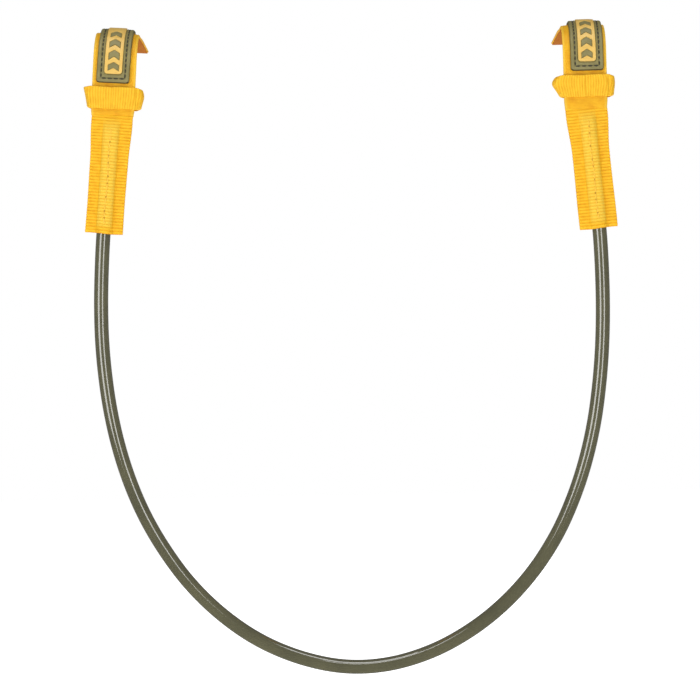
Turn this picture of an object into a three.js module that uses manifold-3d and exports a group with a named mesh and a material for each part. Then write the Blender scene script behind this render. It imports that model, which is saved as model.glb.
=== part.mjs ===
// A harness line: a rope in a plastic tube, hung in a U from two webbing straps that wrap round a boom.
// Millimetres, +Z up. The origin is on the boom's axis, midway between the two straps.
// +X runs along the boom, +Y points away from the rider, and the line hangs down -Z.
import * as THREE from "three";
import { mergeVertices } from "three/addons/utils/BufferGeometryUtils.js";
import Module from "manifold-3d";

const wasm = await Module();
wasm.setup();

// ---------------------------------------------------------------- driving dimensions

const GAP = 0.3; // clearance left between pieces that touch

// Straps, measured along the strap from the boom's level: up the front, over the top and back.
const HEAD_SPACING = 270; // between the middles of the two straps
const STRAP_WIDTH = 25;
const STRAP_RADIUS = 17; // boom's axis to the middle of the strap's thickness
const STRAP_THICKNESS = 3; // webbing and tape together
const WEBBING = 1.5; // one layer of webbing
const STRAP_TURN = THREE.MathUtils.degToRad(91.5); // up from the boom's front, then nearly level
const OVER_TOP = STRAP_RADIUS * STRAP_TURN; // where the tail starts
const PANEL_BELOW = 28; // the front panel hangs this far below the boom's axis
const FIRST_BEND = { from: 10, to: 30 }; // stretches of the tail that bend, from its start
const SECOND_BEND = { from: 45, to: 63 };
const TAIL_LENGTH = 88;

// Tapes sewn to the strap's inner face: loops behind the panel, hooks under the tail.
const TAPE_WIDTH = 24;
const LOOP_TAPE_LENGTH = 24;

// Rubber patch sewn over the strap's front and top.
const PATCH_LENGTH = 53; // over its outer face
const PATCH_WIDTH = 19;
const PATCH_BASE = 1.6;
const INLAY = 0.6;
const INLAY_WIDTH = 10.2;
const INLAY_INSET = 5.2; // from the patch's lower end
const CHEVRON_WIDTH = 6.4;
const CHEVRON_HEIGHT = 3.4;
const CHEVRON_SLOPE = 0.55;
const CHEVRON_PITCH = 6;
const CHEVRONS = 4;
const SEAM_INSET = 2.6; // patch edge to its seam
const THREAD = 0.6;

// Keeper: a slack loop of narrower webbing round the panel.
const KEEPER_HEIGHT = 12.7;
const KEEPER_RADIUS = 5.3; // its two folds, outside
const KEEPER_FLAT = 12.2; // half the length of its flat runs
const KEEPER_CENTRE = -15; // its middle, front to back

// Necks and sleeves: where the strap goes down into the sewn sleeve that holds the tube's end.
const NECK_BELOW = 30.5; // below the boom's axis, where the webbing flexes
const NECK = { above: 1.7, below: 1.9 };
const SLEEVE_START = 3; // below the neck's middle
const SLEEVE_WIDTH = 22;
const SLEEVE_CLEARANCE = 0.35; // round the tube
const SLEEVE_SEAM = { from: 8, to: 60 };

// Line: a tube over a rope. Its route hangs in one plane, as points of x and z.
const TUBE_RADIUS = 4;
const BORE_RADIUS = 2.6;
const ROPE_RADIUS = 2.25;
const LINE_Y = -STRAP_RADIUS;
const ROUTE = [
  [-143.5, -100],
  [-144.8, -120],
  [-145.5, -140],
  [-145.3, -160],
  [-143.9, -180],
  [-141.3, -200],
  [-137.2, -220],
  [-131.3, -240],
  [-123.2, -260],
  [-112.2, -280],
  [-97.5, -300.5],
  [-78.5, -319.5],
  [-57, -334.5],
  [-32.5, -345],
  [-8, -350],
  [16, -349],
  [41, -342],
  [64, -330],
  [84, -314.5],
  [101, -296],
  [114.5, -275.5],
  [124.7, -253.5],
  [131.8, -232.5],
  [136.8, -211.5],
  [140, -190.5],
  [142, -169.5],
  [142.9, -148],
  [142.8, -124],
  [141.8, -101.5],
];
const TUBE_TOP = 5; // the tube ends this far below the neck's middle, inside its sleeve
const BEND_HALF = 27; // half the stretch at the bottom of the U that bends most
const STEP = 16; // between the tube's sections, and half of it along the bottom

// What differs between the two sides, as the soft pieces lie.
const SIDES = [
  {
    name: "left",
    sign: -1,
    headLean: 3.7, // degrees that its top leans to +X
    sleeveLean: 5.2,
    sleeveLength: 68.5, // from the neck's middle
    patchBelow: 12.4, // the patch's lower end, under the boom's axis
    patchShift: 0, // the patch's middle, off the strap's
    keeperBelow: 21, // the keeper's middle, under the boom's axis
  },
  {
    name: "right",
    sign: 1,
    headLean: -0.6,
    sleeveLean: -5,
    sleeveLength: 70.5,
    patchBelow: 10.1,
    patchShift: 1.8,
    keeperBelow: 18.9,
  },
];

// ---------------------------------------------------------------- materials

const plain = (color, roughness) => new THREE.MeshStandardMaterial({ color, roughness, metalness: 0 });
const MATERIALS = {
  webbing: plain(0xf5b52f, 0.85),
  tape: plain(0xb06a1c, 0.95),
  rubber: plain(0x6b6647, 0.6),
  inlay: plain(0xf0c86a, 0.5),
  darkThread: plain(0x38352a, 0.8),
  yellowThread: plain(0xd99a1e, 0.8),
  tube: plain(0x5b5845, 0.2),
  rope: plain(0xe6e2d6, 0.9),
};

// ---------------------------------------------------------------- shaping

const rad = THREE.MathUtils.degToRad;

function mesh(name, geometry, material) {
  const made = new THREE.Mesh(geometry, MATERIALS[material]);
  made.name = name;
  return made;
}

// A point of the strap's side view, as y and z: `along` runs up the strap and back, `out` stands out from
// the middle of its thickness.
function onStrap(along, out) {
  const radius = STRAP_RADIUS + out;
  const turn = THREE.MathUtils.clamp(along / STRAP_RADIUS, 0, STRAP_TURN);
  const beyond = along < 0 ? along : Math.max(along - OVER_TOP, 0);
  const y = beyond * Math.sin(turn) - radius * Math.cos(turn);
  const z = beyond * Math.cos(turn) + radius * Math.sin(turn);
  return [y, z];
}

// A slab laid along the strap between two places on it, bent over the boom with it. A slope makes it a
// chevron that points up.
function slab({ from, to, low, high, width = STRAP_WIDTH, middle = 0, slope = 0 }) {
  const rows = Math.max(1, Math.round((to - from) / 3));
  const flat = new THREE.BoxGeometry(width, to - from, high - low, slope ? 2 : 1, rows, 1);
  flat.translate(0, (from + to) / 2, (low + high) / 2);
  const position = flat.attributes.position;
  for (let i = 0; i < position.count; i++) {
    const along = position.getY(i) - slope * Math.abs(position.getX(i));
    const [y, z] = onStrap(along, position.getZ(i));
    position.setXYZ(i, position.getX(i) + middle, y, z);
  }
  return flat;
}

function solidOf(geometry) {
  const bare = geometry.clone();
  bare.deleteAttribute("normal");
  bare.deleteAttribute("uv");
  const merged = mergeVertices(bare, 1e-4);
  return new wasm.Manifold(
    new wasm.Mesh({
      numProp: 3,
      vertProperties: merged.attributes.position.array,
      triVerts: new Uint32Array(merged.index.array),
    }),
  );
}

function geometryOf(solid) {
  const { vertProperties, triVerts } = solid.getMesh();
  const made = new THREE.BufferGeometry();
  made.setAttribute("position", new THREE.BufferAttribute(vertProperties, 3));
  made.setIndex(new THREE.BufferAttribute(triVerts, 1));
  made.computeVertexNormals();
  return made;
}

const joined = (...pieces) => geometryOf(pieces.map(solidOf).reduce((all, next) => all.add(next)));
const cut = (body, ...tools) =>
  geometryOf(tools.map(solidOf).reduce((left, tool) => left.subtract(tool), solidOf(body)));

// ---------------------------------------------------------------- heads

const tail = (distance) => OVER_TOP + distance;
const HALF = STRAP_THICKNESS / 2;
const TAPE = { low: -HALF, high: HALF - WEBBING - GAP };

function strapPieces(side) {
  const webbing = { low: HALF - WEBBING, high: HALF };
  const whole = { low: -HALF, high: HALF };
  const tape = { ...TAPE, width: TAPE_WIDTH };
  const firstTail = { from: tail(FIRST_BEND.to) + GAP, to: tail(SECOND_BEND.from) - GAP };
  const secondTail = { from: tail(SECOND_BEND.to) + GAP, to: tail(TAIL_LENGTH) };
  const bend = ({ from, to }) => slab({ from: tail(from), to: tail(to), ...whole });
  const panelEnd = tail(FIRST_BEND.from) - GAP;
  return {
    head: [
      mesh(`${side}_strap_panel`, slab({ from: -PANEL_BELOW, to: panelEnd, ...webbing }), "webbing"),
      mesh(`${side}_loop_tape`, slab({ from: -LOOP_TAPE_LENGTH, to: 0, ...tape }), "tape"),
      mesh(`${side}_strap_first_bend`, bend(FIRST_BEND), "webbing"),
    ],
    tailNear: [
      mesh(`${side}_strap_tail_near`, slab({ ...firstTail, ...webbing }), "webbing"),
      mesh(`${side}_hook_tape_near`, slab({ ...firstTail, ...tape }), "tape"),
      mesh(`${side}_strap_second_bend`, bend(SECOND_BEND), "webbing"),
    ],
    tailEnd: [
      mesh(`${side}_strap_tail_end`, slab({ ...secondTail, ...webbing }), "webbing"),
      mesh(`${side}_hook_tape_end`, slab({ ...secondTail, to: secondTail.to - 1, ...tape }), "tape"),
    ],
  };
}

// The patch: a rubber base with raised chevrons, which stand through the holes of a yellow inlay, and the
// seam that sews it down.
function patchPieces({ name: side, patchBelow: below, patchShift: middle }) {
  const outer = HALF + GAP + PATCH_BASE + GAP + INLAY;
  const overTop = (STRAP_RADIUS + outer) * STRAP_TURN;
  const from = -below;
  const to = tail(PATCH_LENGTH - below - overTop);
  const base = { low: HALF + GAP, high: HALF + GAP + PATCH_BASE };
  const inlay = { low: base.high + GAP, high: outer };
  const chevron = (index, shrink) => ({
    from: from + INLAY_INSET + CHEVRON_HEIGHT + index * CHEVRON_PITCH + shrink,
    to: from + INLAY_INSET + 2 * CHEVRON_HEIGHT + index * CHEVRON_PITCH - shrink,
    width: CHEVRON_WIDTH - 2 * shrink,
    slope: CHEVRON_SLOPE,
    middle,
  });
  const every = Array.from({ length: CHEVRONS }, (_, index) => index);
  const boss = { low: base.high - GAP, high: inlay.high };
  const hole = { low: base.high, high: inlay.high + 1 };
  const bosses = every.map((index) => slab({ ...chevron(index, GAP), ...boss }));
  const holes = every.map((index) => slab({ ...chevron(index, 0), ...hole }));
  const body = slab({ from, to, width: PATCH_WIDTH, middle, ...base });
  const inset = { from: from + INLAY_INSET, to: to - INLAY_INSET };
  const plate = slab({ ...inset, width: INLAY_WIDTH, middle, ...inlay });
  const seam = { low: inlay.low, high: inlay.low + THREAD, middle };
  const seamWidth = PATCH_WIDTH - 2 * SEAM_INSET;
  const ring = slab({ from: from + SEAM_INSET, to: to - SEAM_INSET, width: seamWidth, ...seam });
  const inside = slab({
    from: from + SEAM_INSET + THREAD,
    to: to - SEAM_INSET - THREAD,
    width: seamWidth - 2 * THREAD,
    middle,
    low: seam.low - 1,
    high: seam.high + 1,
  });
  return [
    mesh(`${side}_patch_base`, joined(body, ...bosses), "rubber"),
    mesh(`${side}_patch_inlay`, cut(plate, ...holes), "inlay"),
    mesh(`${side}_patch_seam`, cut(ring, inside), "darkThread"),
  ];
}

// The keeper is a flat loop seen from above, and its own lap seam is at the back.
function keeperLoop(half, radius) {
  const outline = new THREE.Path();
  outline.absarc(half, 0, radius, -Math.PI / 2, Math.PI / 2);
  outline.absarc(-half, 0, radius, Math.PI / 2, (3 * Math.PI) / 2);
  outline.closePath();
  return outline.getPoints(6);
}

function keeperPieces({ name: side, keeperBelow: below }) {
  const shape = new THREE.Shape(keeperLoop(KEEPER_FLAT, KEEPER_RADIUS));
  shape.holes.push(new THREE.Path(keeperLoop(KEEPER_FLAT, KEEPER_RADIUS - WEBBING)));
  const loop = new THREE.ExtrudeGeometry(shape, { depth: KEEPER_HEIGHT, bevelEnabled: false });
  loop.translate(0, 0, -KEEPER_HEIGHT / 2);
  const seam = new THREE.BoxGeometry(THREAD * 4, THREAD, KEEPER_HEIGHT - 3);
  seam.translate(0, KEEPER_RADIUS + GAP + THREAD / 2, 0);
  const pieces = [
    mesh(`${side}_keeper`, loop, "webbing"),
    mesh(`${side}_keeper_seam`, seam, "yellowThread"),
  ];
  for (const piece of pieces) piece.position.set(0, KEEPER_CENTRE, -below);
  return pieces;
}

// ---------------------------------------------------------------- sleeves

// One half of the sleeve, seen along the tube: flat wings and a half round over the tube. `face` is -1 for
// the front half and 1 for the back.
function sleeveHalf(face, length) {
  const inner = TUBE_RADIUS + SLEEVE_CLEARANCE;
  const outer = inner + WEBBING;
  const wing = GAP / 2;
  const edge = SLEEVE_WIDTH / 2;
  const arc = (radius, level, reversed) => {
    const start = Math.asin(level / radius);
    const turns = Array.from({ length: 9 }, (_, i) => start + ((Math.PI - 2 * start) * i) / 8);
    const points = turns.map((turn) => new THREE.Vector2(radius * Math.cos(turn), radius * Math.sin(turn)));
    return reversed ? points.reverse() : points;
  };
  const outline = [
    new THREE.Vector2(edge, wing),
    new THREE.Vector2(edge, wing + WEBBING),
    ...arc(outer, wing + WEBBING, false),
    new THREE.Vector2(-edge, wing + WEBBING),
    new THREE.Vector2(-edge, wing),
    ...arc(inner, wing, true),
  ];
  const shape = new THREE.Shape(outline);
  const half = new THREE.ExtrudeGeometry(shape, { depth: length - SLEEVE_START, bevelEnabled: false });
  half.translate(0, 0, -length);
  if (face < 0) half.rotateZ(Math.PI);
  return half;
}

function sleevePieces({ name, sleeveLength }) {
  const seamLength = SLEEVE_SEAM.to - SLEEVE_SEAM.from;
  const seam = new THREE.BoxGeometry(THREAD * 2, THREAD, seamLength);
  const front = TUBE_RADIUS + SLEEVE_CLEARANCE + WEBBING + GAP + THREAD / 2;
  seam.translate(0, -front, -SLEEVE_SEAM.from - seamLength / 2);
  return [
    mesh(`${name}_sleeve_front`, sleeveHalf(-1, sleeveLength), "webbing"),
    mesh(`${name}_sleeve_back`, sleeveHalf(1, sleeveLength), "webbing"),
    mesh(`${name}_sleeve_seam`, seam, "yellowThread"),
  ];
}

function neckPiece(name) {
  const neck = new THREE.BoxGeometry(STRAP_WIDTH, STRAP_THICKNESS, NECK.above + NECK.below);
  neck.translate(0, 0, (NECK.above - NECK.below) / 2);
  return mesh(`${name}_neck_webbing`, neck, "webbing");
}

// ---------------------------------------------------------------- line

// A point under the neck, down the sleeve's axis.
function inSleeve({ sign, headLean, sleeveLean }, distance) {
  const [head, sleeve] = [rad(headLean), rad(sleeveLean)];
  const x = (sign * HEAD_SPACING) / 2 - NECK_BELOW * Math.sin(head) - distance * Math.sin(sleeve);
  const z = -NECK_BELOW * Math.cos(head) - distance * Math.cos(sleeve);
  return new THREE.Vector3(x, LINE_Y, z);
}

const [LEFT, RIGHT] = SIDES;
const LINE = new THREE.CatmullRomCurve3(
  [
    inSleeve(LEFT, TUBE_TOP),
    inSleeve(LEFT, LEFT.sleeveLength / 2),
    ...ROUTE.map(([x, z]) => new THREE.Vector3(x, LINE_Y, z)),
    inSleeve(RIGHT, RIGHT.sleeveLength / 2),
    inSleeve(RIGHT, TUBE_TOP),
  ],
  false,
  "centripetal",
);
LINE.arcLengthDivisions = 600;

function ring(radius, sides) {
  const turns = Array.from({ length: sides }, (_, i) => (2 * Math.PI * i) / sides);
  return turns.map((turn) => new THREE.Vector2(radius * Math.cos(turn), radius * Math.sin(turn)));
}

// The solid of a section swept along part of the line, between two distances from its left end.
function sweep(from, to, step, outline, bore) {
  const total = LINE.getLength();
  const steps = Math.round((to - from) / step);
  const fine = steps * 6; // close points, so that the end faces stand square to the line
  const pointAt = (distance) => LINE.getPointAt(distance / total);
  const stops = Array.from({ length: fine + 1 }, (_, i) => pointAt(from + ((to - from) * i) / fine));
  const shape = new THREE.Shape(outline);
  if (bore) shape.holes.push(new THREE.Path(bore));
  const path = new THREE.CatmullRomCurve3(stops, false, "centripetal");
  return new THREE.ExtrudeGeometry(shape, { steps, extrudePath: path, bevelEnabled: false });
}

// The distance along the line at which it passes the bottom of the U.
function bottomOfLine() {
  const total = LINE.getLength();
  const samples = Array.from({ length: 601 }, (_, i) => i / 600);
  const lowest = samples.reduce((best, u) => (LINE.getPointAt(u).z < LINE.getPointAt(best).z ? u : best));
  return lowest * total;
}

function linePieces() {
  const total = LINE.getLength();
  const bottom = bottomOfLine();
  const tube = [ring(TUBE_RADIUS, 12), ring(BORE_RADIUS, 8)];
  const rope = [ring(ROPE_RADIUS, 8)];
  const stretches = [
    ["left", 0, bottom - BEND_HALF - GAP, STEP],
    ["bend", bottom - BEND_HALF, bottom + BEND_HALF, STEP / 2],
    ["right", bottom + BEND_HALF + GAP, total, STEP],
  ];
  return stretches.flatMap(([name, from, to, step]) => [
    mesh(`tube_${name}`, sweep(from, to, step, ...tube), "tube"),
    mesh(`rope_core_${name}`, sweep(from, to, step, ...rope), "rope"),
  ]);
}

// ---------------------------------------------------------------- assembly

const harnessLine = new THREE.Group();

for (const side of SIDES) {
  const head = new THREE.Group();
  head.position.x = (side.sign * HEAD_SPACING) / 2;
  head.rotation.y = rad(side.headLean);
  const strap = strapPieces(side.name);
  head.add(...strap.head, ...strap.tailNear, ...strap.tailEnd);
  head.add(...patchPieces(side));
  head.add(...keeperPieces(side));

  const sleeve = new THREE.Group();
  sleeve.position.copy(inSleeve(side, 0));
  sleeve.rotation.y = rad(side.sleeveLean);
  sleeve.add(...sleevePieces(side));

  const neck = neckPiece(side.name);
  neck.position.copy(inSleeve(side, 0));
  neck.rotation.y = rad((side.headLean + side.sleeveLean) / 2);
  harnessLine.add(head, neck, sleeve);
}
harnessLine.add(...linePieces());

export default harnessLine;
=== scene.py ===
import math

import bmesh
import bpy
import numpy as np
from mathutils import Euler, Matrix, Vector


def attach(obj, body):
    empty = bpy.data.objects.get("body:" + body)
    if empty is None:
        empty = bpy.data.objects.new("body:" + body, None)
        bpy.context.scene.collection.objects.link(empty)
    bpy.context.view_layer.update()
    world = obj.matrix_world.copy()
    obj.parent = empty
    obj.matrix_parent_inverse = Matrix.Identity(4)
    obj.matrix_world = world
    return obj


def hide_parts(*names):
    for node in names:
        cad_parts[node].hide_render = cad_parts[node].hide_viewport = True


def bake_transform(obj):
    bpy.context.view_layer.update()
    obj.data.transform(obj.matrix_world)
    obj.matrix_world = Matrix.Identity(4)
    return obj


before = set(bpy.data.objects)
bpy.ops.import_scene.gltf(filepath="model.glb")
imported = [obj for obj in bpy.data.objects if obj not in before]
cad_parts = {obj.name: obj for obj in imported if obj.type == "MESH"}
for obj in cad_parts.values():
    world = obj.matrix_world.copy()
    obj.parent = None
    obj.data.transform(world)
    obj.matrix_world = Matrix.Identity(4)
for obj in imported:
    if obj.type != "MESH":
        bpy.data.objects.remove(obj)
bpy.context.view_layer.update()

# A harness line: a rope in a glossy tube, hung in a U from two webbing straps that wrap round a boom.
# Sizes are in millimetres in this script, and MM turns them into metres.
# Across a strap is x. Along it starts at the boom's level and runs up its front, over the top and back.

MM = 0.001

# ---------------------------------------------------------------- sizes, as the CAD part has them

HEAD_SPACING = 270
STRAP_WIDTH = 25
STRAP_RADIUS = 17
STRAP_THICKNESS = 3
STRAP_TURN = math.radians(91.5)
OVER_TOP = STRAP_RADIUS * STRAP_TURN
FIRST_BEND = (10, 30)
SECOND_BEND = (45, 63)
TAIL_SPLIT = 37
TAIL_LENGTH = 88
TAPE_WIDTH = 24
LOOP_TAPE_LENGTH = 24
HOOKS_FROM = 3           # the hook tape starts this far along the tail
HOOKS_SHORT = 1          # and stops this far short of its end

PATCH_LENGTH = 53
PATCH_WIDTH = 19
PATCH_OUTER = 4.3
INLAY_INSET = 5.2
INLAY_WIDTH = 10.2
CHEVRON_WIDTH = 6.4
CHEVRON_HEIGHT = 3.4
CHEVRON_SLOPE = 0.55
CHEVRON_PITCH = 6
CHEVRONS = 4
SEAM_INSET = 2.6

KEEPER_HEIGHT = 12.7
KEEPER_RADIUS = 5.3
KEEPER_CENTRE = -15

NECK_BELOW = 30.5
SLEEVE_WIDTH = 22
LINE_Y = -STRAP_RADIUS

# what the soft parts add to the CAD sizes

TUBE_RADIUS = 4.1        # the tube's gloss makes it look a little fuller than its 8 mm
TUBE_HIDDEN = 14         # how far the tube goes on inside each sleeve
TUBE_SIDES = 32
RIB_PITCH = 1.8          # the sleeve's ribs
KEEPER_RIB = 1.5         # the keeper's finer ones
STRAP_EDGE = 0.7         # how far the strap's edges round off
FACE = STRAP_THICKNESS / 2
TAPE_LOW = -0.5          # the tapes' inner face, from the middle of the strap's thickness
UNDER_KEEPER = -20       # the strap's webbing is jointed here, where the keeper hides it
PATCH_LOW = FACE
PATCH_HIGH = FACE + 2.2
INLAY_HIGH = PATCH_HIGH + 0.5
PATCH_CORNER = 1.7
INLAY_CORNER = 1.9
PLATE_DEPTH = 0.7        # how far the inlay and the chevrons sink into the patch
KEEPER_THICK = 1.3
KEEPER_EDGE = 0.55
KEEPER_STATIONS = 360
FOLD_STEP = 0.3          # where the middle measure of a fold is taken, as a share of the keeper's height
SLEEVE_TOP = 0.2         # below the neck's middle, hidden under the strap's end
SLEEVE_RIM = 0.6
HUMP = TUBE_RADIUS + 0.95
HUMP_INSIDE = TUBE_RADIUS + 0.1
BAND_HALF = 4.95         # half the width of the raised band over the tube
WING = 1.65

SIDES = {
    "left": dict(sign=-1, head_lean=3.7, sleeve_lean=5.2, sleeve_length=68.5,
                 patch_below=12.4, patch_shift=-0.2, patch_turn=1.1, keeper_below=21, neck_end=31.2),
    "right": dict(sign=1, head_lean=-0.6, sleeve_lean=-5, sleeve_length=70.5,
                  patch_below=10.1, patch_shift=1.2, patch_turn=0, keeper_below=18.9, neck_end=32.6),
}

# The line's route, as points of x and z: the same list as in part.mjs. It wasn't chosen by hand. The
# points come from a program's trace of the tube in the photograph, spaced again and rounded.
ROUTE = [
    (-143.5, -100), (-144.8, -120), (-145.5, -140), (-145.3, -160), (-143.9, -180),
    (-141.3, -200), (-137.2, -220), (-131.3, -240), (-123.2, -260), (-112.2, -280),
    (-97.5, -300.5), (-78.5, -319.5), (-57, -334.5), (-32.5, -345), (-8, -350),
    (16, -349), (41, -342), (64, -330), (84, -314.5), (101, -296),
    (114.5, -275.5), (124.7, -253.5), (131.8, -232.5), (136.8, -211.5), (140, -190.5),
    (142, -169.5), (142.9, -148), (142.8, -124), (141.8, -101.5),
]

# ---------------------------------------------------------------- camera, backdrop and light

CAMERA_DISTANCE = 2000   # to the plane of the line
HALF_VIEW = 201.25       # half of what the picture spans in that plane
CAMERA_AT = (-2.9, -168.1)   # x and z
CAMERA_ROLL = 1.05


def make_camera():
    data = bpy.data.cameras.new("camera")
    data.sensor_width = 36
    data.lens = data.sensor_width / 2 * CAMERA_DISTANCE / HALF_VIEW
    data.clip_end = 20
    camera = bpy.data.objects.new("camera", data)
    bpy.context.scene.collection.objects.link(camera)
    x, z = CAMERA_AT
    camera.location = Vector((x, LINE_Y - CAMERA_DISTANCE, z)) * MM
    upright = Euler((math.radians(90), 0, 0)).to_matrix()
    camera.rotation_euler = (upright @ Matrix.Rotation(math.radians(-CAMERA_ROLL), 3, "Z")).to_euler()
    bpy.context.scene.camera = camera


make_camera()


# ---------------------------------------------------------------- the tube comes first

def head_point(side, x, y, z):
    """Points of a head's own frame, in metres in the row frame. x, y and z may be arrays."""
    facts = SIDES[side]
    lean = math.radians(facts["head_lean"])
    out_x = facts["sign"] * HEAD_SPACING / 2 + x * math.cos(lean) + z * math.sin(lean)
    out_z = z * math.cos(lean) - x * math.sin(lean)
    return np.stack(np.broadcast_arrays(out_x, y, out_z), -1) * MM


def neck_point(side):
    """The middle of the neck, where the webbing flexes, in millimetres."""
    return head_point(side, 0, LINE_Y, -NECK_BELOW) / MM


def sleeve_point(side, x, y, z):
    """Points of a sleeve's own frame, whose origin is the neck's middle, in metres in the row frame."""
    lean = math.radians(SIDES[side]["sleeve_lean"])
    middle = neck_point(side)
    out_x = middle[0] + x * math.cos(lean) + z * math.sin(lean)
    out_z = middle[2] + z * math.cos(lean) - x * math.sin(lean)
    return np.stack(np.broadcast_arrays(out_x, middle[1] + y, out_z), -1) * MM


def smooth_line(points, step):
    """A centripetal Catmull-Rom line through the points, at even steps of that many metres."""
    points = np.array(points, float)
    ends = [2 * points[0] - points[1], *points, 2 * points[-1] - points[-2]]
    fine = []
    for p0, p1, p2, p3 in zip(ends, ends[1:], ends[2:], ends[3:]):
        t1 = np.linalg.norm(p1 - p0) ** 0.5
        t2 = t1 + np.linalg.norm(p2 - p1) ** 0.5
        t3 = t2 + np.linalg.norm(p3 - p2) ** 0.5
        for t in np.linspace(t1, t2, 24, endpoint=False):
            a1 = p0 * (t1 - t) / t1 + p1 * t / t1
            a2 = p1 * (t2 - t) / (t2 - t1) + p2 * (t - t1) / (t2 - t1)
            a3 = p2 * (t3 - t) / (t3 - t2) + p3 * (t - t2) / (t3 - t2)
            b1 = a1 * (t2 - t) / t2 + a2 * t / t2
            b2 = a2 * (t3 - t) / (t3 - t1) + a3 * (t - t1) / (t3 - t1)
            fine.append(b1 * (t2 - t) / (t2 - t1) + b2 * (t - t1) / (t2 - t1))
    fine = np.array([*fine, points[-1]])
    gone = np.concatenate([[0], np.cumsum(np.linalg.norm(np.diff(fine, axis=0), axis=1))])
    wanted = np.linspace(0, gone[-1], round(gone[-1] / step) + 1)
    return np.stack([np.interp(wanted, gone, fine[:, axis]) for axis in range(3)], 1)


def mesh_object(name, points, faces, smooth=True):
    mesh = bpy.data.meshes.new(name)
    mesh.from_pydata([tuple(p) for p in points], [], [tuple(f) for f in faces])
    mesh.polygons.foreach_set("use_smooth", [smooth] * len(mesh.polygons))
    mesh.update()
    made = bpy.data.objects.new(name, mesh)
    bpy.context.scene.collection.objects.link(made)
    return made


def ring_faces(rings, sides):
    """Faces of a tube of that many rings, with a flat cap at each end."""
    faces = []
    for ring in range(rings - 1):
        for side in range(sides):
            a = ring * sides + side
            b = ring * sides + (side + 1) % sides
            faces.append((a, b, b + sides, a + sides))
    faces.append(tuple(reversed(range(sides))))
    faces.append(tuple(range((rings - 1) * sides, rings * sides)))
    return faces


def make_tube():
    left = SIDES["left"]["sleeve_length"]
    right = SIDES["right"]["sleeve_length"]
    start = sleeve_point("left", 0, 0, TUBE_HIDDEN - left)
    end = sleeve_point("right", 0, 0, TUBE_HIDDEN - right)
    route = [Vector((x, LINE_Y, z)) * MM for x, z in ROUTE]
    line = smooth_line([start, *route, end], 2 * MM)
    rings = []
    for index, centre in enumerate(line):
        ahead = line[min(index + 1, len(line) - 1)] - line[max(index - 1, 0)]
        inward = np.array([-ahead[2], 0, ahead[0]]) / np.linalg.norm(ahead)
        for side in range(TUBE_SIDES):
            turn = 2 * math.pi * side / TUBE_SIDES
            out = inward * math.cos(turn) + np.array([0, 1, 0]) * math.sin(turn)
            rings.append(centre + out * TUBE_RADIUS * MM)
    tube = mesh_object("tube", rings, ring_faces(len(line), TUBE_SIDES))
    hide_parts("tube_left", "tube_bend", "tube_right",
                "rope_core_left", "rope_core_bend", "rope_core_right")
    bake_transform(tube)
    return tube


tube = make_tube()


# ---------------------------------------------------------------- materials

def new_material(name, color, roughness):
    material = bpy.data.materials.new(name)
    material.use_nodes = True
    shader = material.node_tree.nodes["Principled BSDF"]
    shader.inputs["Base Color"].default_value = (*color, 1)
    shader.inputs["Roughness"].default_value = roughness
    return material, material.node_tree, shader


def add(tree, kind, inputs=(), **settings):
    """A node of that kind, with its settings, and its inputs set or linked by name or number."""
    node = tree.nodes.new(kind)
    for key, value in settings.items():
        setattr(node, key, value)
    for key, value in dict(inputs).items():
        if isinstance(value, bpy.types.NodeSocket):
            tree.links.new(value, node.inputs[key])
        else:
            node.inputs[key].default_value = value
    return node


def math_node(tree, operation, a, b=0.0, c=0.0):
    return add(tree, "ShaderNodeMath", {0: a, 1: b, 2: c}, operation=operation).outputs[0]


def lay_coordinates(tree):
    """Where a point is in its sheet: all of it, across and along it in metres, and its share of painted
    light, which is painted highlight on the webbing and painted shadow round the patch's rim.
    """
    lay = add(tree, "ShaderNodeAttribute", attribute_name="lay")
    split = add(tree, "ShaderNodeSeparateXYZ", {0: lay.outputs["Vector"]})
    return lay.outputs["Vector"], split.outputs["X"], split.outputs["Y"], split.outputs["Z"]


def wave(tree, value, pitch):
    """0 to 1 and back once in each pitch, in metres."""
    turned = math_node(tree, "SINE", math_node(tree, "MULTIPLY", value, 2 * math.pi / pitch))
    return math_node(tree, "MULTIPLY_ADD", turned, 0.5, 0.5)


def noise_at(tree, vector, scale, detail=3.0):
    node = add(tree, "ShaderNodeTexNoise", {"Vector": vector, "Scale": scale, "Detail": detail})
    return node.outputs["Fac"]


def added(tree, a, share_a, b, share_b):
    """The sum of two values, each times its share."""
    second = math_node(tree, "MULTIPLY", b, share_b)
    return math_node(tree, "ADD", math_node(tree, "MULTIPLY", a, share_a), second)


def mix_colors(tree, shader, share, a, b):
    """Gives the shader colour a, and b where the share is 1."""
    mixed = add(tree, "ShaderNodeMix", {"Factor": share, "A": a, "B": (*b, 1)}, data_type="RGBA")
    tree.links.new(mixed.outputs["Result"], shader.inputs["Base Color"])


def bump(tree, shader, height, distance, strength=1.0):
    made = add(tree, "ShaderNodeBump", {"Height": height, "Distance": distance, "Strength": strength})
    tree.links.new(made.outputs["Normal"], shader.inputs["Normal"])


def ramp(tree, value, stops):
    """A colour ramp over (place, colour) stops."""
    node = add(tree, "ShaderNodeValToRGB", {0: value})
    while len(node.color_ramp.elements) < len(stops):
        node.color_ramp.elements.new(0.5)
    for element, (place, color) in zip(node.color_ramp.elements, stops):
        element.position = place
        element.color = (*color, 1)
    return node.outputs["Color"]


YELLOW = (0.80, 0.412, 0.008)
YELLOW_LIGHT = (0.85, 0.505, 0.024)
YELLOW_DEEP = (0.68, 0.286, 0.003)
# a paler yellow laid on as painted highlight: over the sleeves' raised band, along the straps' edges and on
# the keepers' rib crests
YELLOW_PAINTED_HIGHLIGHT = (0.81, 0.550, 0.060)


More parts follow.
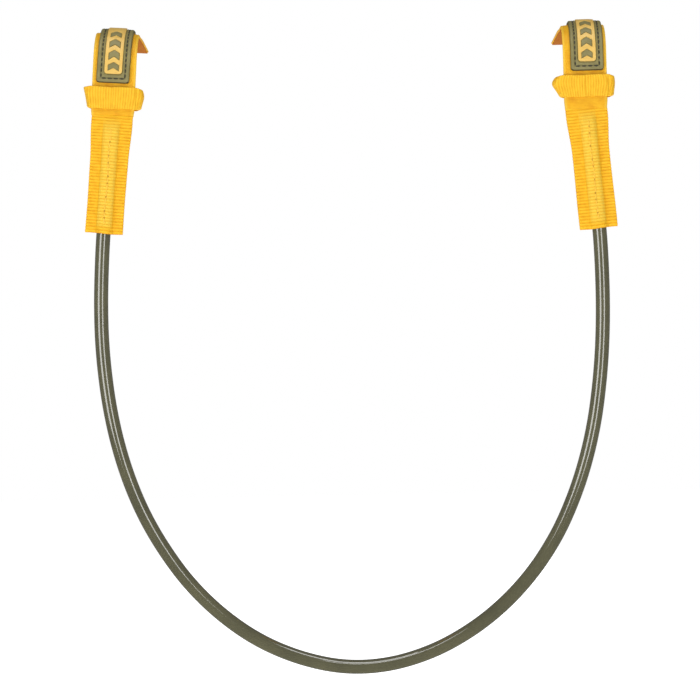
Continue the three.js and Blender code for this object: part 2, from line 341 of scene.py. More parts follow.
def smooth_webbing():
    """Tight, flat weave with a satin face: fine lengthwise yarns crossed by finer ones."""
    material, tree, shader = new_material("smooth_webbing", YELLOW, 0.5)
    vector, across, along, raised = lay_coordinates(tree)
    yarns = wave(tree, across, 0.62 * MM)
    picks = wave(tree, along, 0.9 * MM)
    weave = math_node(tree, "MULTIPLY", yarns, picks)
    cloud = noise_at(tree, vector, 160)
    shade = added(tree, weave, 0.3, cloud, 0.8)
    color = ramp(tree, shade, [(0.25, YELLOW_DEEP), (0.5, YELLOW), (0.9, YELLOW_LIGHT)])
    # the paler yellow along the strap's edges is a painted highlight
    mix_colors(tree, shader, raised, color, YELLOW_PAINTED_HIGHLIGHT)
    fuzz = noise_at(tree, vector, 2600)
    height = math_node(tree, "ADD", weave, math_node(tree, "MULTIPLY", fuzz, 0.5))
    bump(tree, shader, height, 0.12 * MM, 0.6)
    shader.inputs["Specular IOR Level"].default_value = 0.25
    return material


def ribbed_webbing():
    """Coarse ribs across the webbing, which the mesh has; the shader adds the yarns, painted shade in the
    valleys and a painted highlight on the crests.
    """
    material, tree, shader = new_material("ribbed_webbing", YELLOW, 0.62)
    vector, across, along, raised = lay_coordinates(tree)
    crest = wave(tree, math_node(tree, "ADD", along, -0.25 * RIB_PITCH * MM), RIB_PITCH * MM)
    cloud = noise_at(tree, vector, 260)
    fibres = noise_at(tree, vector, 3200, 2.0)
    # lighter on the rib crests and darker in the valleys, which is painted highlight and painted shade,
    # mixed with random clouds of tone
    shade = added(tree, crest, 0.4, cloud, 0.7)
    color = ramp(tree, shade, [(0.2, YELLOW_DEEP), (0.5, YELLOW), (0.85, YELLOW_LIGHT)])
    # the paler yellow goes where raised is set, weighted towards the rib crests: a painted highlight
    share = math_node(tree, "MULTIPLY", raised, math_node(tree, "MULTIPLY_ADD", crest, 0.6, 0.35))
    mix_colors(tree, shader, share, color, YELLOW_PAINTED_HIGHLIGHT)
    strands = wave(tree, across, 0.38 * MM)
    height = math_node(tree, "ADD", math_node(tree, "MULTIPLY", strands, 0.5), fibres)
    bump(tree, shader, height, 0.1 * MM, 0.7)
    shader.inputs["Specular IOR Level"].default_value = 0.22
    return material


def pile_tape(name, color, deep, scale):
    """Short dense pile: tufts of lighter and darker thread."""
    material, tree, shader = new_material(name, color, 0.9)
    vector = lay_coordinates(tree)[0]
    tufts = noise_at(tree, vector, scale, 4.0)
    tree.links.new(ramp(tree, tufts, [(0.3, deep), (0.7, color)]), shader.inputs["Base Color"])
    bump(tree, shader, tufts, 0.4 * MM, 0.8)
    shader.inputs["Specular IOR Level"].default_value = 0.15
    return material


def moulded_rubber(name, color, worn, roughness, edge):
    """Soft moulded rubber with a fine grain, slightly worn lighter clouds, and a darker rim that is painted
    shadow.
    """
    material, tree, shader = new_material(name, color, roughness)
    place = add(tree, "ShaderNodeTexCoord").outputs["Object"]
    grain = noise_at(tree, place, 3500, 2.0)
    cloud = noise_at(tree, place, 140)
    face = ramp(tree, added(tree, cloud, 0.8, grain, 0.2), [(0.3, color), (0.7, worn)])
    rim_shadow_share = lay_coordinates(tree)[3]
    # the rim share turns the rim to the last colour: a painted shadow round the patch
    mix_colors(tree, shader, rim_shadow_share, face, edge)
    bump(tree, shader, grain, 0.06 * MM, 0.5)
    return material


def thread_material(name, color, deep):
    """Twisted thread: slanting plies."""
    material, tree, shader = new_material(name, color, 0.6)
    place = add(tree, "ShaderNodeTexCoord").outputs["Object"]
    plies = add(tree, "ShaderNodeTexWave", {"Vector": place, "Scale": 900.0, "Distortion": 1.0},
                bands_direction="DIAGONAL")
    twisted = ramp(tree, plies.outputs["Fac"], [(0.1, deep), (0.7, color)])
    tree.links.new(twisted, shader.inputs["Base Color"])
    bump(tree, shader, plies.outputs["Fac"], 0.08 * MM, 0.6)
    return material


def tube_material():
    """Glossy extruded tube: smooth, with faint long drawing marks and small clouds of tint."""
    material, tree, shader = new_material("tube_plastic", (0.09, 0.086, 0.046), 0.12)
    place = add(tree, "ShaderNodeTexCoord").outputs["Object"]
    cloud = noise_at(tree, place, 60)
    tint = ramp(tree, cloud, [(0.3, (0.078, 0.075, 0.041)), (0.7, (0.101, 0.096, 0.051))])
    tree.links.new(tint, shader.inputs["Base Color"])
    marks = noise_at(tree, place, 700, 1.0)
    rough = add(tree, "ShaderNodeMapRange", {"Value": marks, "To Min": 0.08, "To Max": 0.16}).outputs[0]
    tree.links.new(rough, shader.inputs["Roughness"])
    bump(tree, shader, marks, 0.02 * MM, 0.35)
    shader.inputs["IOR"].default_value = 1.5
    shader.inputs["Coat Weight"].default_value = 1.0
    shader.inputs["Coat Roughness"].default_value = 0.03
    shader.inputs["Coat IOR"].default_value = 1.6
    return material


MATERIALS = {
    "smooth": smooth_webbing(),
    "ribbed": ribbed_webbing(),
    "hooks": pile_tape("hook_tape", (0.47, 0.150, 0.006), (0.27, 0.072, 0.003), 1500),
    "loops": pile_tape("loop_tape", (0.70, 0.34, 0.04), (0.40, 0.16, 0.02), 900),
    # the olive rubber's last colour is a dark brown painted shadow for the patch's rim; the yellow rubber's
    # last colour is its own
    "rubber": moulded_rubber("olive_rubber", (0.180, 0.155, 0.050), (0.245, 0.212, 0.078), 0.5,
                             (0.030, 0.022, 0.008)),
    "inlay": moulded_rubber("yellow_rubber", (0.67, 0.41, 0.080), (0.75, 0.50, 0.125), 0.42,
                            (0.67, 0.41, 0.080)),
    "dark thread": thread_material("dark_thread", (0.060, 0.055, 0.035), (0.015, 0.014, 0.010)),
    "yellow thread": thread_material("yellow_thread", (0.95, 0.60, 0.06), (0.80, 0.40, 0.02)),
    # the orange-brown of the needle holes is painted shade: the shade inside the holes
    "needle hole shade": thread_material("needle_hole_shade", (0.62, 0.32, 0.018), (0.44, 0.20, 0.010)),
    "tube": tube_material(),
}
tube.data.materials.append(MATERIALS["tube"])


# ---------------------------------------------------------------- sheets and stitches

def rounded_stations(width, edge, middle_step):
    """Places across a strip, close together where its edges round off."""
    half = width / 2
    turns = np.linspace(0, math.pi / 2, 5)
    rim = half - edge * (1 - np.sin(turns))
    inner = np.arange(middle_step / 2, half - edge - middle_step / 3, middle_step)
    right = np.concatenate([inner, rim])
    return np.concatenate([-right[::-1], right])


def sheet_mesh(name, across, along, place, material, raised=None, weave=1.0):
    """A closed sheet over a grid. place(x, s, face) gives its skins, face 1 outside and -1 inside.
    raised(x, s) is the share of the material's second colour, which is painted light: a painted highlight
    on the webbing and a painted shadow round the patch's rim. weave scales the ribs' pitch."""
    x, s = np.meshgrid(np.array(across, float), np.array(along, float))
    rows, columns = x.shape
    outer = place(x, s, 1).reshape(-1, 3)
    inner = place(x, s, -1).reshape(-1, 3)
    count = rows * columns
    grid = np.arange(count).reshape(rows, columns)
    a, b = grid[:-1, :-1].ravel(), grid[:-1, 1:].ravel()
    c, d = grid[1:, 1:].ravel(), grid[1:, :-1].ravel()
    faces = [np.stack([a, b, c, d], 1), np.stack([d, c, b, a], 1) + count]
    rim = np.concatenate([grid[0, :], grid[1:, -1], grid[-1, -2::-1], grid[-2:0:-1, 0]])
    following = np.roll(rim, -1)
    faces.append(np.stack([following, rim, rim + count, following + count], 1))
    made = mesh_object(name, np.concatenate([outer, inner]), np.concatenate(faces))
    lay = made.data.attributes.new("lay", "FLOAT_VECTOR", "POINT")
    painted_light_share = raised(x, s).ravel() if raised else np.zeros(count)
    flat = np.stack([x.ravel() * MM, s.ravel() * MM * weave, painted_light_share], 1)
    lay.data.foreach_set("vector", np.concatenate([flat, flat * [1, 1, 0]]).astype(np.float32).ravel())
    made.data.materials.append(MATERIALS[material])
    return made


def edge_round(x, width, edge):
    """1 in the middle of a strip, falling to 0 along a quarter circle at its edges."""
    into = np.clip((np.abs(x) - (width / 2 - edge)) / edge, 0, 1)
    return np.sqrt(np.clip(1 - into**2, 0.0, 1))


def smooth_between(value, low, high):
    share = np.clip((value - low) / (high - low), 0, 1)
    return share * share * (3 - 2 * share)


def dip(value, middle, half):
    """1 at the middle, falling smoothly to 0 that far to either side."""
    return np.cos(np.clip((value - middle) / half, -1, 1) * math.pi / 2) ** 2


def rib(along, pitch=RIB_PITCH):
    return np.abs(np.sin(np.pi * along / pitch)) ** 0.7


def yarn(across, pitch=1.15):
    return 0.75 + 0.25 * np.abs(np.sin(np.pi * across / pitch))


def even(start, end, step):
    return np.linspace(start, end, max(2, round(abs(end - start) / step) + 1))


def tail(distance):
    return OVER_TOP + distance


def crown(along, x):
    """How far the strap's edges droop where it goes over the boom."""
    rise = np.clip((along - 6) / 14, 0, 1)
    fall = np.clip((tail(30) - along) / 20, 0, 1)
    return -0.006 * x**2 * rise * rise * (3 - 2 * rise) * fall


def on_strap(along, out, x=0.0):
    """The strap's side view, as y and z: `out` stands out from the middle of its thickness."""
    radius = STRAP_RADIUS + out + crown(along, x)
    turn = np.clip(along / STRAP_RADIUS, 0, STRAP_TURN)
    beyond = np.where(along < 0, along, np.maximum(along - OVER_TOP, 0))
    return beyond * np.sin(turn) - radius * np.cos(turn), beyond * np.cos(turn) + radius * np.sin(turn)


def strap_place(side, width, low, high, edge, middle=0.0, relief=None):
    """A place function for a strip laid along the strap between two heights."""
    def place(x, s, face):
        half = (high - low) / 2 * (0.12 + 0.88 * edge_round(x, width, edge))
        out = (low + high) / 2 + face * half
        if relief is not None and face > 0:
            out = out + relief(x, s)
        y, z = on_strap(s, out, x + middle)
        return head_point(side, x + middle, y, z)
    return place


def stitch_row(name, pairs, radius, material, outward):
    """Rows of stitches: each pair of points is one stitch, a short thread that dives in at both ends."""
    points, faces = [], []
    sides, rings = 8, 7
    for (start, end), up in zip(pairs, outward):
        start, end, up = np.array(start, float), np.array(end, float), np.array(up, float)
        ahead = (end - start) / np.linalg.norm(end - start)
        up = up - ahead * (up @ ahead)
        up /= np.linalg.norm(up)
        aside = np.cross(ahead, up)
        first = len(points)
        for ring in range(rings):
            share = ring / (rings - 1)
            swell = math.sin(math.pi * (0.08 + 0.84 * share))
            centre = start + (end - start) * share + up * radius * 0.9 * (swell - 0.6)
            for side in range(sides):
                turn = 2 * math.pi * side / sides
                thick = radius * (0.35 + 0.65 * swell)
                points.append(centre + (aside * math.cos(turn) * 1.15 + up * math.sin(turn)) * thick)
        faces += [tuple(first + i for i in face) for face in ring_faces(rings, sides)]
    made = mesh_object(name, points, faces)
    made.data.materials.append(MATERIALS[material])
    return made


def stitches_between(line, normals, length, gap):
    """Cuts a line of points into stitches of that length, with gaps: (pairs, outward directions)."""
    line, normals = np.array(line, float), np.array(normals, float)
    gone = np.concatenate([[0], np.cumsum(np.linalg.norm(np.diff(line, axis=0), axis=1))])
    count = max(1, int(gone[-1] / (length + gap)))
    pitch = gone[-1] / count
    share = length / (length + gap)
    pairs, outward = [], []
    for index in range(count):
        a, b = (index + (1 - share) / 2) * pitch, (index + (1 + share) / 2) * pitch
        ends = [[np.interp(d, gone, line[:, axis]) for axis in range(3)] for d in (a, b)]
        pairs.append(ends)
        outward.append([np.interp((a + b) / 2, gone, normals[:, axis]) for axis in range(3)])
    return pairs, outward


# ---------------------------------------------------------------- straps

def selvedge(x, s):
    """Two grooves run along the webbing beside each edge."""
    inset = STRAP_WIDTH / 2 - np.abs(x)
    return -0.16 * (dip(inset, 1.5, 0.35) + dip(inset, 2.9, 0.35))


# A painted highlight: the last 1.4 mm beside each of the strap's edges takes some of the paler yellow.
def edge_painted_highlight(x, s):
    return 0.55 * np.clip((np.abs(x) - STRAP_WIDTH / 2 + 1.4) / 0.4, 0, 1)


def make_strap(side):
    """The webbing in two lengths, which meet in the middle of the tail, and the tapes on its inner face."""
    web = dict(width=STRAP_WIDTH, low=0.0, high=FACE, edge=STRAP_EDGE, relief=selvedge)
    across = rounded_stations(STRAP_WIDTH, STRAP_EDGE, 0.4)
    front = sheet_mesh(f"{side}_strap", across, even(UNDER_KEEPER, tail(TAIL_SPLIT), 0.9),
                       strap_place(side, **web), "smooth", raised=edge_painted_highlight)
    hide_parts(f"{side}_strap_panel", f"{side}_strap_first_bend")
    back = sheet_mesh(f"{side}_strap_tail", across, even(tail(TAIL_SPLIT), tail(TAIL_LENGTH), 0.9),
                      strap_place(side, **web), "smooth", raised=edge_painted_highlight)
    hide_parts(f"{side}_strap_tail_near", f"{side}_strap_second_bend", f"{side}_strap_tail_end")

    tape = dict(width=TAPE_WIDTH, low=TAPE_LOW, high=-0.02, edge=0.3)
    narrow = rounded_stations(TAPE_WIDTH, 0.5, 1.0)
    loops = sheet_mesh(f"{side}_loop_pile", narrow, even(-LOOP_TAPE_LENGTH, 0, 0.8),
                       strap_place(side, **tape), "loops")
    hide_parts(f"{side}_loop_tape")
    near = sheet_mesh(f"{side}_hook_pile_near", narrow, even(tail(HOOKS_FROM), tail(TAIL_SPLIT), 0.9),
                      strap_place(side, **tape), "hooks")
    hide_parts(f"{side}_hook_tape_near")
    to_end = even(tail(TAIL_SPLIT), tail(TAIL_LENGTH - HOOKS_SHORT), 0.9)
    end = sheet_mesh(f"{side}_hook_pile_end", narrow, to_end,
                     strap_place(side, **tape), "hooks")
    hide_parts(f"{side}_hook_tape_end")
    bend_over(side, FIRST_BEND, [front, near])
    bend_over(side, SECOND_BEND, [back, end])
    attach(loops, f"{side}_head")


def bend_over(side, stretch, pieces):
    start, end = (head_point(side, 0, *on_strap(tail(np.float64(d)), 0.0)) for d in stretch)
    for piece in pieces:
        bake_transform(piece)


# ---------------------------------------------------------------- patches

def patch_span(side):
    """Where the patch starts and ends along the strap: its length is taken over its outer face."""
    start = -SIDES[side]["patch_below"]
    over_top = (STRAP_RADIUS + PATCH_OUTER) * STRAP_TURN
    return start, tail(PATCH_LENGTH + start - over_top)


def patch_x(side, x, s):
    """The patch is sewn a little off the strap's middle, and a little turned."""
    facts = SIDES[side]
    start, end = patch_span(side)
    return x + facts["patch_shift"] + (s - (start + end) / 2) * math.tan(math.radians(facts["patch_turn"]))


def inset_from(x, s, span, width, corner):
    """How far inside a rounded rectangle a point lies, in its own plane."""
    start, end = span
    from_side = np.abs(x) - (width / 2 - corner)
    from_end = np.abs(s - (start + end) / 2) - ((end - start) / 2 - corner)
    outside = np.hypot(np.maximum(from_side, 0), np.maximum(from_end, 0))
    return corner - outside - np.minimum(np.maximum(from_side, from_end), 0)


def make_patch(side):
    span = patch_span(side)
    inlay_span = (span[0] + INLAY_INSET, span[1] - INLAY_INSET)

    def place(x, s, face):
        pulled = np.clip((PATCH_CORNER - np.minimum(s - span[0], span[1] - s)) / PATCH_CORNER, 0, 1)
        narrow = PATCH_WIDTH / 2 - PATCH_CORNER * (1 - np.sqrt(1 - pulled**2))
        x_pulled = x * narrow / (PATCH_WIDTH / 2)
        inset = inset_from(x_pulled, s, span, PATCH_WIDTH, PATCH_CORNER)
        rim = np.clip(inset / 0.8, 0, 1)
        height = (PATCH_HIGH - PATCH_LOW) * (0.6 + 0.4 * np.sqrt(1 - (1 - rim) ** 2))
        height -= 0.6 * dip(inset, SEAM_INSET, 0.9)
        height -= 0.6 * dip(inset_from(x_pulled, s, inlay_span, INLAY_WIDTH, INLAY_CORNER), -0.1, 0.6)
        out = PATCH_LOW + (height if face > 0 else 0 * height)
        x_sewn = patch_x(side, x_pulled, s)
        y, z = on_strap(s, out, x_sewn)
        return head_point(side, x_sewn, y, z)

    across = rounded_stations(PATCH_WIDTH, 0.8, 0.33)
    ends = np.array([0, 0.05, 0.15, 0.3, 0.5, 0.75])
    along = np.concatenate([span[0] + ends, even(span[0] + 1, span[1] - 1, 0.36), span[1] - ends[::-1]])
    # A painted shadow round the patch's rim, strongest along its lower end.
    def rim_painted_shadow(x, s):
        inset = inset_from(x, s, span, PATCH_WIDTH, PATCH_CORNER)
        low_end = smooth_between(span[0] + 1.5 - s, 0, 1)
        return (0.55 + 0.45 * low_end) * (1 - smooth_between(inset, 0.15, 0.55 + 0.3 * low_end))

    base = sheet_mesh(f"{side}_patch", across, along, place, "rubber", raised=rim_painted_shadow)
    sunk = PATCH_HIGH - PLATE_DEPTH
    inlay = plate(f"{side}_inlay", side, inlay_loops(inlay_span), sunk, INLAY_HIGH, 0.28, "inlay")
    bosses = []
    for index, loop in enumerate(chevrons(inlay_span[0], 0.16)):
        name = f"{side}_chevron_{index + 1}"
        bosses.append(plate(name, side, [loop], sunk, INLAY_HIGH + 0.1, 0.25, "rubber"))
    seam = patch_seam(side, span)
    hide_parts(f"{side}_patch_base")
    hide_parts(f"{side}_patch_inlay")
    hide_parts(f"{side}_patch_seam")
    for piece in (base, inlay, seam, *bosses):
        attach(piece, f"{side}_head")


def rounded_loop(corners, radius, steps=5):
    """The closed outline through the corners, each cut by a small curve."""
    corners = [np.array(c, float) for c in corners]
    loop = []
    for before, corner, after in zip(corners[-1:] + corners[:-1], corners, corners[1:] + corners[:1]):
        back, ahead = before - corner, after - corner
        a = corner + back / np.linalg.norm(back) * radius
        b = corner + ahead / np.linalg.norm(ahead) * radius
        for t in np.linspace(0, 1, steps):
            loop.append(a * (1 - t) ** 2 + 2 * corner * t * (1 - t) + b * t**2)
    return loop


def chevrons(start, shrink):
    """Outlines of the raised chevrons, which point up the strap, made smaller all round by that much."""
    half = CHEVRON_WIDTH / 2 - shrink
    loops = []
    for index in range(CHEVRONS):
        low = start + CHEVRON_HEIGHT + index * CHEVRON_PITCH + shrink
        high = low + CHEVRON_HEIGHT - 2 * shrink
        drop = CHEVRON_SLOPE * half
        below = [(-half, low - drop), (0, low), (half, low - drop)]
        above = [(half, high - drop), (0, high), (-half, high - drop)]
        loops.append(rounded_loop(below + above, 0.35))
    return loops


def inlay_loops(span):
    half = INLAY_WIDTH / 2
    corners = [(-half, span[0]), (half, span[0]), (half, span[1]), (-half, span[1])]
    holes = [loop[::-1] for loop in chevrons(span[0], 0)]
    return [rounded_loop(corners, INLAY_CORNER, 8), *holes]


def plate(name, side, loops, low, high, bevel, material):
    """A flat moulded piece with those outlines, edges eased, bent over the boom with the strap."""
    curve = bpy.data.curves.new(name, "CURVE")
    curve.dimensions = "2D"
    curve.fill_mode = "BOTH"
    curve.extrude = (high - low) / 2 - bevel
    curve.bevel_depth = bevel
    curve.bevel_resolution = 2
    curve.offset = -bevel
    for loop in loops:
        spline = curve.splines.new("POLY")
        spline.points.add(len(loop) - 1)
        spline.points.foreach_set("co", np.array([(x, s, 0, 1) for x, s in loop]).ravel())
        spline.use_cyclic_u = True
    drawn = bpy.data.objects.new(name, curve)
    made = bpy.data.meshes.new_from_object(drawn)
    bpy.data.objects.remove(drawn)
    bpy.data.curves.remove(curve)
    cut = bmesh.new()
    cut.from_mesh(made)
    bmesh.ops.remove_doubles(cut, verts=cut.verts, dist=0.001)
    stations = [vert.co.y for vert in cut.verts]
    for s in np.arange(min(stations) + 0.8, max(stations), 0.8):
        parts = [*cut.verts, *cut.edges, *cut.faces]
        bmesh.ops.bisect_plane(cut, geom=parts, plane_co=(0, s, 0), plane_no=(0, 1, 0))
    bmesh.ops.recalc_face_normals(cut, faces=cut.faces)
    cut.to_mesh(made)
    cut.free()
    flat = np.array([vert.co[:] for vert in made.vertices])
    x = patch_x(side, flat[:, 0], flat[:, 1])
    y, z = on_strap(flat[:, 1], flat[:, 2] + (low + high) / 2, x)
    made.vertices.foreach_set("co", head_point(side, x, y, z).astype(np.float32).ravel())
    made.polygons.foreach_set("use_smooth", [True] * len(made.polygons))
    made.set_sharp_from_angle(angle=math.radians(40))
    made.materials.clear()
    made.materials.append(MATERIALS[material])
    piece = bpy.data.objects.new(name, made)
    bpy.context.scene.collection.objects.link(piece)
    return piece


def strap_line(side, points, out):
    """Points and outward directions along a drawn line of (x, s) on the strap."""
    x, s = np.array(points, float).T
    low = head_point(side, x, *on_strap(s, out, x))
    high = head_point(side, x, *on_strap(s, out + 1, x))
    return low, high - low


def patch_seam(side, span):
    half = PATCH_WIDTH / 2 - SEAM_INSET
    start, end = span[0] + SEAM_INSET, span[1] - SEAM_INSET
    runs = [((-half, start), (half, start)), ((half, start), (half, end)),
            ((half, end), (-half, end)), ((-half, end), (-half, start))]
    pairs, outward = [], []
    for a, b in runs:
        steps = max(2, round(math.dist(a, b) / 0.5))
        share = np.linspace(0, 1, steps)
        s = a[1] + (b[1] - a[1]) * share
        points = np.stack([patch_x(side, a[0] + (b[0] - a[0]) * share, s), s], 1)
        more = stitches_between(*strap_line(side, points, PATCH_HIGH - 0.45), 2.2 * MM, 0.7 * MM)
        pairs += more[0]
        outward += more[1]
    return stitch_row(f"{side}_patch_stitches", pairs, 0.36 * MM, "dark thread", outward)


# ---------------------------------------------------------------- keepers

FOLDS = {
    # how far each fold of the keeper reaches from the strap's middle, at its top, at FOLD_STEP and at its
    # foot, and how deep it is creased beside the strap
    "left": {-1: (17.2, 16.0, 14.2, 0.1), 1: (15.6, 17.3, 15.4, 0.9)},
    "right": {-1: (15.6, 19.3, 14.0, 0.2), 1: (16.0, 16.7, 15.6, 0.9)},
}


def keeper_plan(reach, crease):
    """Half of the keeper's loop seen from above, front to back, as x and y from its middle."""
    back = KEEPER_RADIUS - KEEPER_THICK / 2
    front = -back
    return [(0, front), (5, front), (10, front + 0.05),
            (12.2, front + 0.2 * crease), (13.1, front + crease),
            (reach - 1.6, front + 0.4 + 0.7 * crease), (reach - 0.35, front + 2.6), (reach, 0),
            (reach - 0.5, back - 2.2), (reach - 2.6, back - 0.5), (10, back), (5, back), (0, back)]


def make_keeper(side):
    facts = SIDES[side]
    rows = []
    heights = rounded_stations(KEEPER_HEIGHT, KEEPER_EDGE, 0.45)
    for height in heights:
        share = 0.5 - height / KEEPER_HEIGHT
        halves = {}
        for hand in (-1, 1):
            top, belly, foot, crease = FOLDS[side][hand]
            near = np.array([-0.15, -0.05, 0.05, 0.15])
            reach = np.interp(share + near, [0, FOLD_STEP, 1], [top, belly, foot]).mean()
            reach -= 1.1 * (1 - math.sqrt(1 - max(0, abs(2 * share - 1) * 6 - 5) ** 2))
            halves[hand] = [(hand * x, y) for x, y in keeper_plan(reach, crease)]
        loop = halves[1] + halves[-1][::-1][1:]
        line = smooth_line([(x, y, 0) for x, y in loop], 0.3)
        wanted, given = np.linspace(0, 1, KEEPER_STATIONS), np.linspace(0, 1, len(line))
        even_line = [np.interp(wanted, given, line[:, axis]) for axis in range(2)]
        rows.append(np.stack(even_line, 1))
    rows = np.array(rows)
    length = float(np.linalg.norm(np.diff(rows[len(rows) // 2], axis=0), axis=1).sum())
    along = np.linspace(0, length, KEEPER_STATIONS)

    def place(x, s, face):
        ahead = np.gradient(rows, axis=1)
        ahead /= np.linalg.norm(ahead, axis=2, keepdims=True)
        out = np.stack([ahead[..., 1], -ahead[..., 0]], 2)
        half = KEEPER_THICK / 2 * (0.15 + 0.85 * edge_round(heights, KEEPER_HEIGHT, KEEPER_EDGE))[:, None]
        lift = face * half
        if face > 0:
            ribs = 0.14 * (rib(along, KEEPER_RIB)[None, :] * yarn(heights, 0.9)[:, None] - 0.6)
            lift = lift + ribs * edge_round(heights, KEEPER_HEIGHT, 1.4)[:, None]
        spread = rows + out * lift[..., None]
        turned = smooth_between(np.abs(spread[..., 0]), 13, 16)
        sag = 0.25 * np.sin(along / length * 3 * math.pi + 0.6)[None, :]
        up = heights[:, None] * (1 - 0.07 * turned) + sag
        y = spread[..., 1] + KEEPER_CENTRE
        return head_point(side, spread[..., 0], y, up - facts["keeper_below"]).transpose(1, 0, 2)

    # the keeper takes a little of the paler yellow all over, and more on its rib crests, where it is a
    # painted highlight
    keeper = sheet_mesh(f"{side}_keeper_loop", heights, along, place, "ribbed",
                        raised=lambda x, s: np.full_like(x, 0.2), weave=RIB_PITCH / KEEPER_RIB)
    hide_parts(f"{side}_keeper")
    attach(keeper, f"{side}_keeper")
    make_keeper_seam(side)


def make_keeper_seam(side):
    """Two bars of stitching close the keeper's loop in the middle of its back."""
    y = KEEPER_CENTRE + KEEPER_RADIUS + 0.15
    reach = KEEPER_HEIGHT / 2 - 1.2
    pairs, outward = [], []
    for x in (-2.2, 2.2):
        heights = even(-reach, reach, 0.5)
        line = head_point(side, x, y, heights - SIDES[side]["keeper_below"])
        more = stitches_between(line, np.tile([0, 1, 0], (len(line), 1)), 1.7 * MM, 0.4 * MM)
        pairs += more[0]
        outward += more[1]
    seam = stitch_row(f"{side}_keeper_stitches", pairs, 0.32 * MM,
                      "yellow thread", outward)
    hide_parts(f"{side}_keeper_seam")
    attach(seam, f"{side}_keeper")


# ---------------------------------------------------------------- sleeves and necks

def hump(x, d, outer):
    """How far a sleeve's face stands off its middle plane: flat wings, and a half round over the tube."""
    height, half, level = (HUMP, BAND_HALF, WING) if outer else (HUMP_INSIDE, HUMP_INSIDE, 0.1)
    grown = smooth_between(d, 0, 11)
    arc = height * np.sqrt(np.maximum(1 - (np.abs(x) / half) ** (3.2 if outer else 2), 0))
    soft = 0.5 * (arc + level + np.sqrt((arc - level) ** 2 + 0.3))
    tucked = 0.75 + 0.25 * smooth_between(d, 0, 3) if outer else 1
    return level * tucked + (soft - level) * grown


def on_band(x, d, length):
    """1 on the raised band, which gets a painted highlight, except where it starts and at its mouth."""
    across = smooth_between(BAND_HALF - 0.2 - np.abs(x), 0, 0.4)
    return across * smooth_between(d, 0.5, 9) * smooth_between(length - d, 2, 6)


def make_sleeve(side):
    facts = SIDES[side]
    length = facts["sleeve_length"]
    across = rounded_stations(SLEEVE_WIDTH, SLEEVE_RIM, 0.5)
    along = even(SLEEVE_TOP, length, 0.225)
    for face_sign, name in ((-1, "front"), (1, "back")):
        def place(x, d, face, face_sign=face_sign):
            wide = 1.08 - 0.1 * smooth_between(d, 4, 26) + 0.012 * np.sin(d / 9 + facts["sign"])
            worn = 0.16 * (rib(d) - 0.5)
            x_wide = x * wide + np.sign(x) * worn * smooth_between(np.abs(x), 9.5, 11)
            outer = hump(x_wide, d, True)
            inner = hump(x_wide, d, False)
            middle = (outer + inner) / 2
            end = smooth_between(length - d, -0.1, 0.7)
            rim = 0.15 + 0.85 * edge_round(x, SLEEVE_WIDTH, SLEEVE_RIM)
            half = (outer - inner) / 2 * rim * (0.5 + 0.5 * end)
            lift = middle + face * half
            if face > 0:
                ribs = rib(d + 0.12 * np.sin(x * 1.7)) * yarn(x)
                deep = 0.5 * (1 - 0.3 * on_band(x_wide, d, length)) * smooth_between(d, 0, 2)
                deep = deep * (0.25 + 0.75 * smooth_between(length - d, 0.6, 3.5))
                deep = deep * (1 - 0.65 * dip(np.abs(x_wide), BAND_HALF + 0.2, 1.3))
                lift = lift + deep * (ribs - 0.55)
            sway = 0.25 * np.sin(d / 13 + 2 * facts["sign"]) * (x / 11)
            drop = d + 0.2 * np.cos(x / 3.5 + facts["sign"]) * smooth_between(d, length - 12, length)
            return sleeve_point(side, x_wide, face_sign * lift + sway, -drop)

        half_sleeve = sheet_mesh(f"{side}_sleeve_webbing_{name}", across, along, place, "ribbed",
                                 raised=lambda x, d: on_band(x, d, length))
        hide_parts(f"{side}_sleeve_{name}")
        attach(half_sleeve, f"line_{side}")


def make_sleeve_seam(side):
    """A row of stitches down the middle of the raised band, with orange-brown pieces in most of the gaps
    between them, which paint the shade in the needle's holes.
    """
    facts = SIDES[side]
    length = facts["sleeve_length"]
    distances = even(8, length - 5, 0.8)
    wander = 0.25 * np.sin(distances / 5)
    points = sleeve_point(side, wander, -hump(np.zeros_like(distances), distances, True) - 0.1, -distances)
    normals = np.tile([0, -1, 0], (len(points), 1))
    pairs, outward = stitches_between(points, normals, 2.9 * MM, 0.9 * MM)
    seam = stitch_row(f"{side}_sleeve_stitches", pairs, 0.4 * MM, "yellow thread", outward)
    gaps = [(first[1], second[0]) for first, second in zip(pairs, pairs[1:])]
    open_gaps = [gap for index, gap in enumerate(gaps) if math.sin(2.4 * index + facts["sign"]) > -0.4]
    holes = stitch_row(f"{side}_needle_holes", open_gaps, 0.32 * MM,
                       "needle hole shade", outward)
    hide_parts(f"{side}_sleeve_seam")
    for piece in (seam, holes):
        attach(piece, f"line_{side}")


def make_neck(side):
    """The strap's lower end, which laps over the sleeve's top."""
    facts = SIDES[side]
    across = rounded_stations(STRAP_WIDTH, STRAP_EDGE, 1.0)
    along = even(-facts["neck_end"], UNDER_KEEPER, 0.5)

    def place(x, s, face):
        below = smooth_between(-s, NECK_BELOW - 4, NECK_BELOW + 2)
        thick = FACE * (0.3 + 0.7 * edge_round(x, STRAP_WIDTH, 0.9)) * (1 + 0.15 * below)
        end = 0.4 + 0.6 * smooth_between(s + facts["neck_end"], 0, 0.8)
        y = LINE_Y - face * thick * end
        wide = x * (1 - 0.035 * below)
        return head_point(side, wide, y, s)

    neck = sheet_mesh(f"{side}_neck", across, along, place, "smooth", raised=edge_painted_highlight)
    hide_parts(f"{side}_neck_webbing")
    start = head_point(side, 0, LINE_Y, -NECK_BELOW + 2.5)
    end = head_point(side, 0, LINE_Y, -NECK_BELOW - 2.5)
    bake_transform(neck)


for side in SIDES:
    make_strap(side)
    make_patch(side)
    make_keeper(side)
    make_neck(side)
    make_sleeve(side)
    make_sleeve_seam(side)

# ---------------------------------------------------------------- light

FILL_LIGHT = 0.18


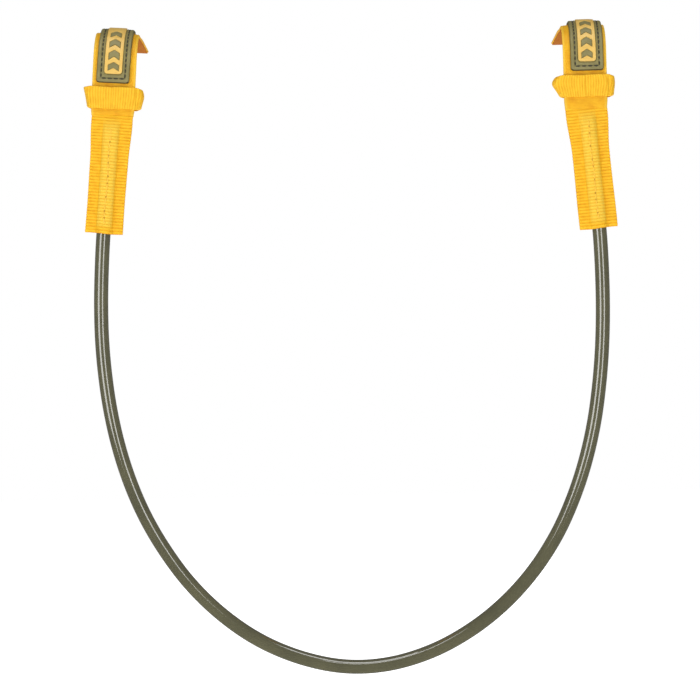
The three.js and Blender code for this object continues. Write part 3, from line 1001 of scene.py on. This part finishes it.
def area_light(name, place, target, size, power):
    data = bpy.data.lights.new(name, "AREA")
    data.shape = "RECTANGLE"
    data.size, data.size_y = size
    data.energy = power
    light = bpy.data.objects.new(name, data)
    bpy.context.scene.collection.objects.link(light)
    light.location = place
    light.rotation_euler = (Vector(target) - Vector(place)).to_track_quat("-Z", "Y").to_euler()
    return light


def make_studio():
    """White all round for the camera, but dim for light, which comes from boxes on all sides."""
    world = bpy.data.worlds.new("studio")
    bpy.context.scene.world = world
    world.use_nodes = True
    tree = world.node_tree
    seen = add(tree, "ShaderNodeLightPath").outputs["Is Camera Ray"]
    strength = math_node(tree, "MULTIPLY_ADD", seen, 1 - FILL_LIGHT, FILL_LIGHT)
    tree.nodes["Background"].inputs["Color"].default_value = (1, 1, 1, 1)
    tree.links.new(strength, tree.nodes["Background"].inputs["Strength"])
    bpy.context.scene.view_settings.view_transform = "Standard"
    area_light("left_box", (-1.3, -1.62, -0.08), (0, 0, -0.08), (0.92, 0.84), 11.8)
    area_light("right_box", (0.82, -1.95, -0.08), (0, 0, -0.08), (0.65, 0.84), 8.3)
    area_light("top_box", (-0.3, -1.3, 1.35), (0, 0, -0.17), (1.4, 0.22), 6)
    area_light("crown_box", (0.1, -0.6, 1.5), (0, 0, 0), (1.4, 0.6), 11)
    behind = area_light("back_box", (0.7, 1.9, 0.5), (0, 0, -0.15), (0.9, 1.2), 13)
    behind.visible_glossy = False


def make_floor():
    """A pale paper floor under the line, which glossy surfaces don't mirror."""
    half, level = 4.0, -0.42
    corners = [(-half, -half, level), (half, -half, level), (half, half, level), (-half, half, level)]
    floor = mesh_object("floor", corners, [(0, 1, 2, 3)], smooth=False)
    material, tree, shader = new_material("paper", (0.93, 0.93, 0.93), 0.9)
    place = add(tree, "ShaderNodeTexCoord").outputs["Object"]
    bump(tree, shader, noise_at(tree, place, 300), 0.0002, 0.2)
    shader.inputs["Emission Color"].default_value = (1, 1, 1, 1)
    shader.inputs["Emission Strength"].default_value = 0.85
    floor.data.materials.append(material)
    floor.visible_glossy = False


make_studio()
make_floor()
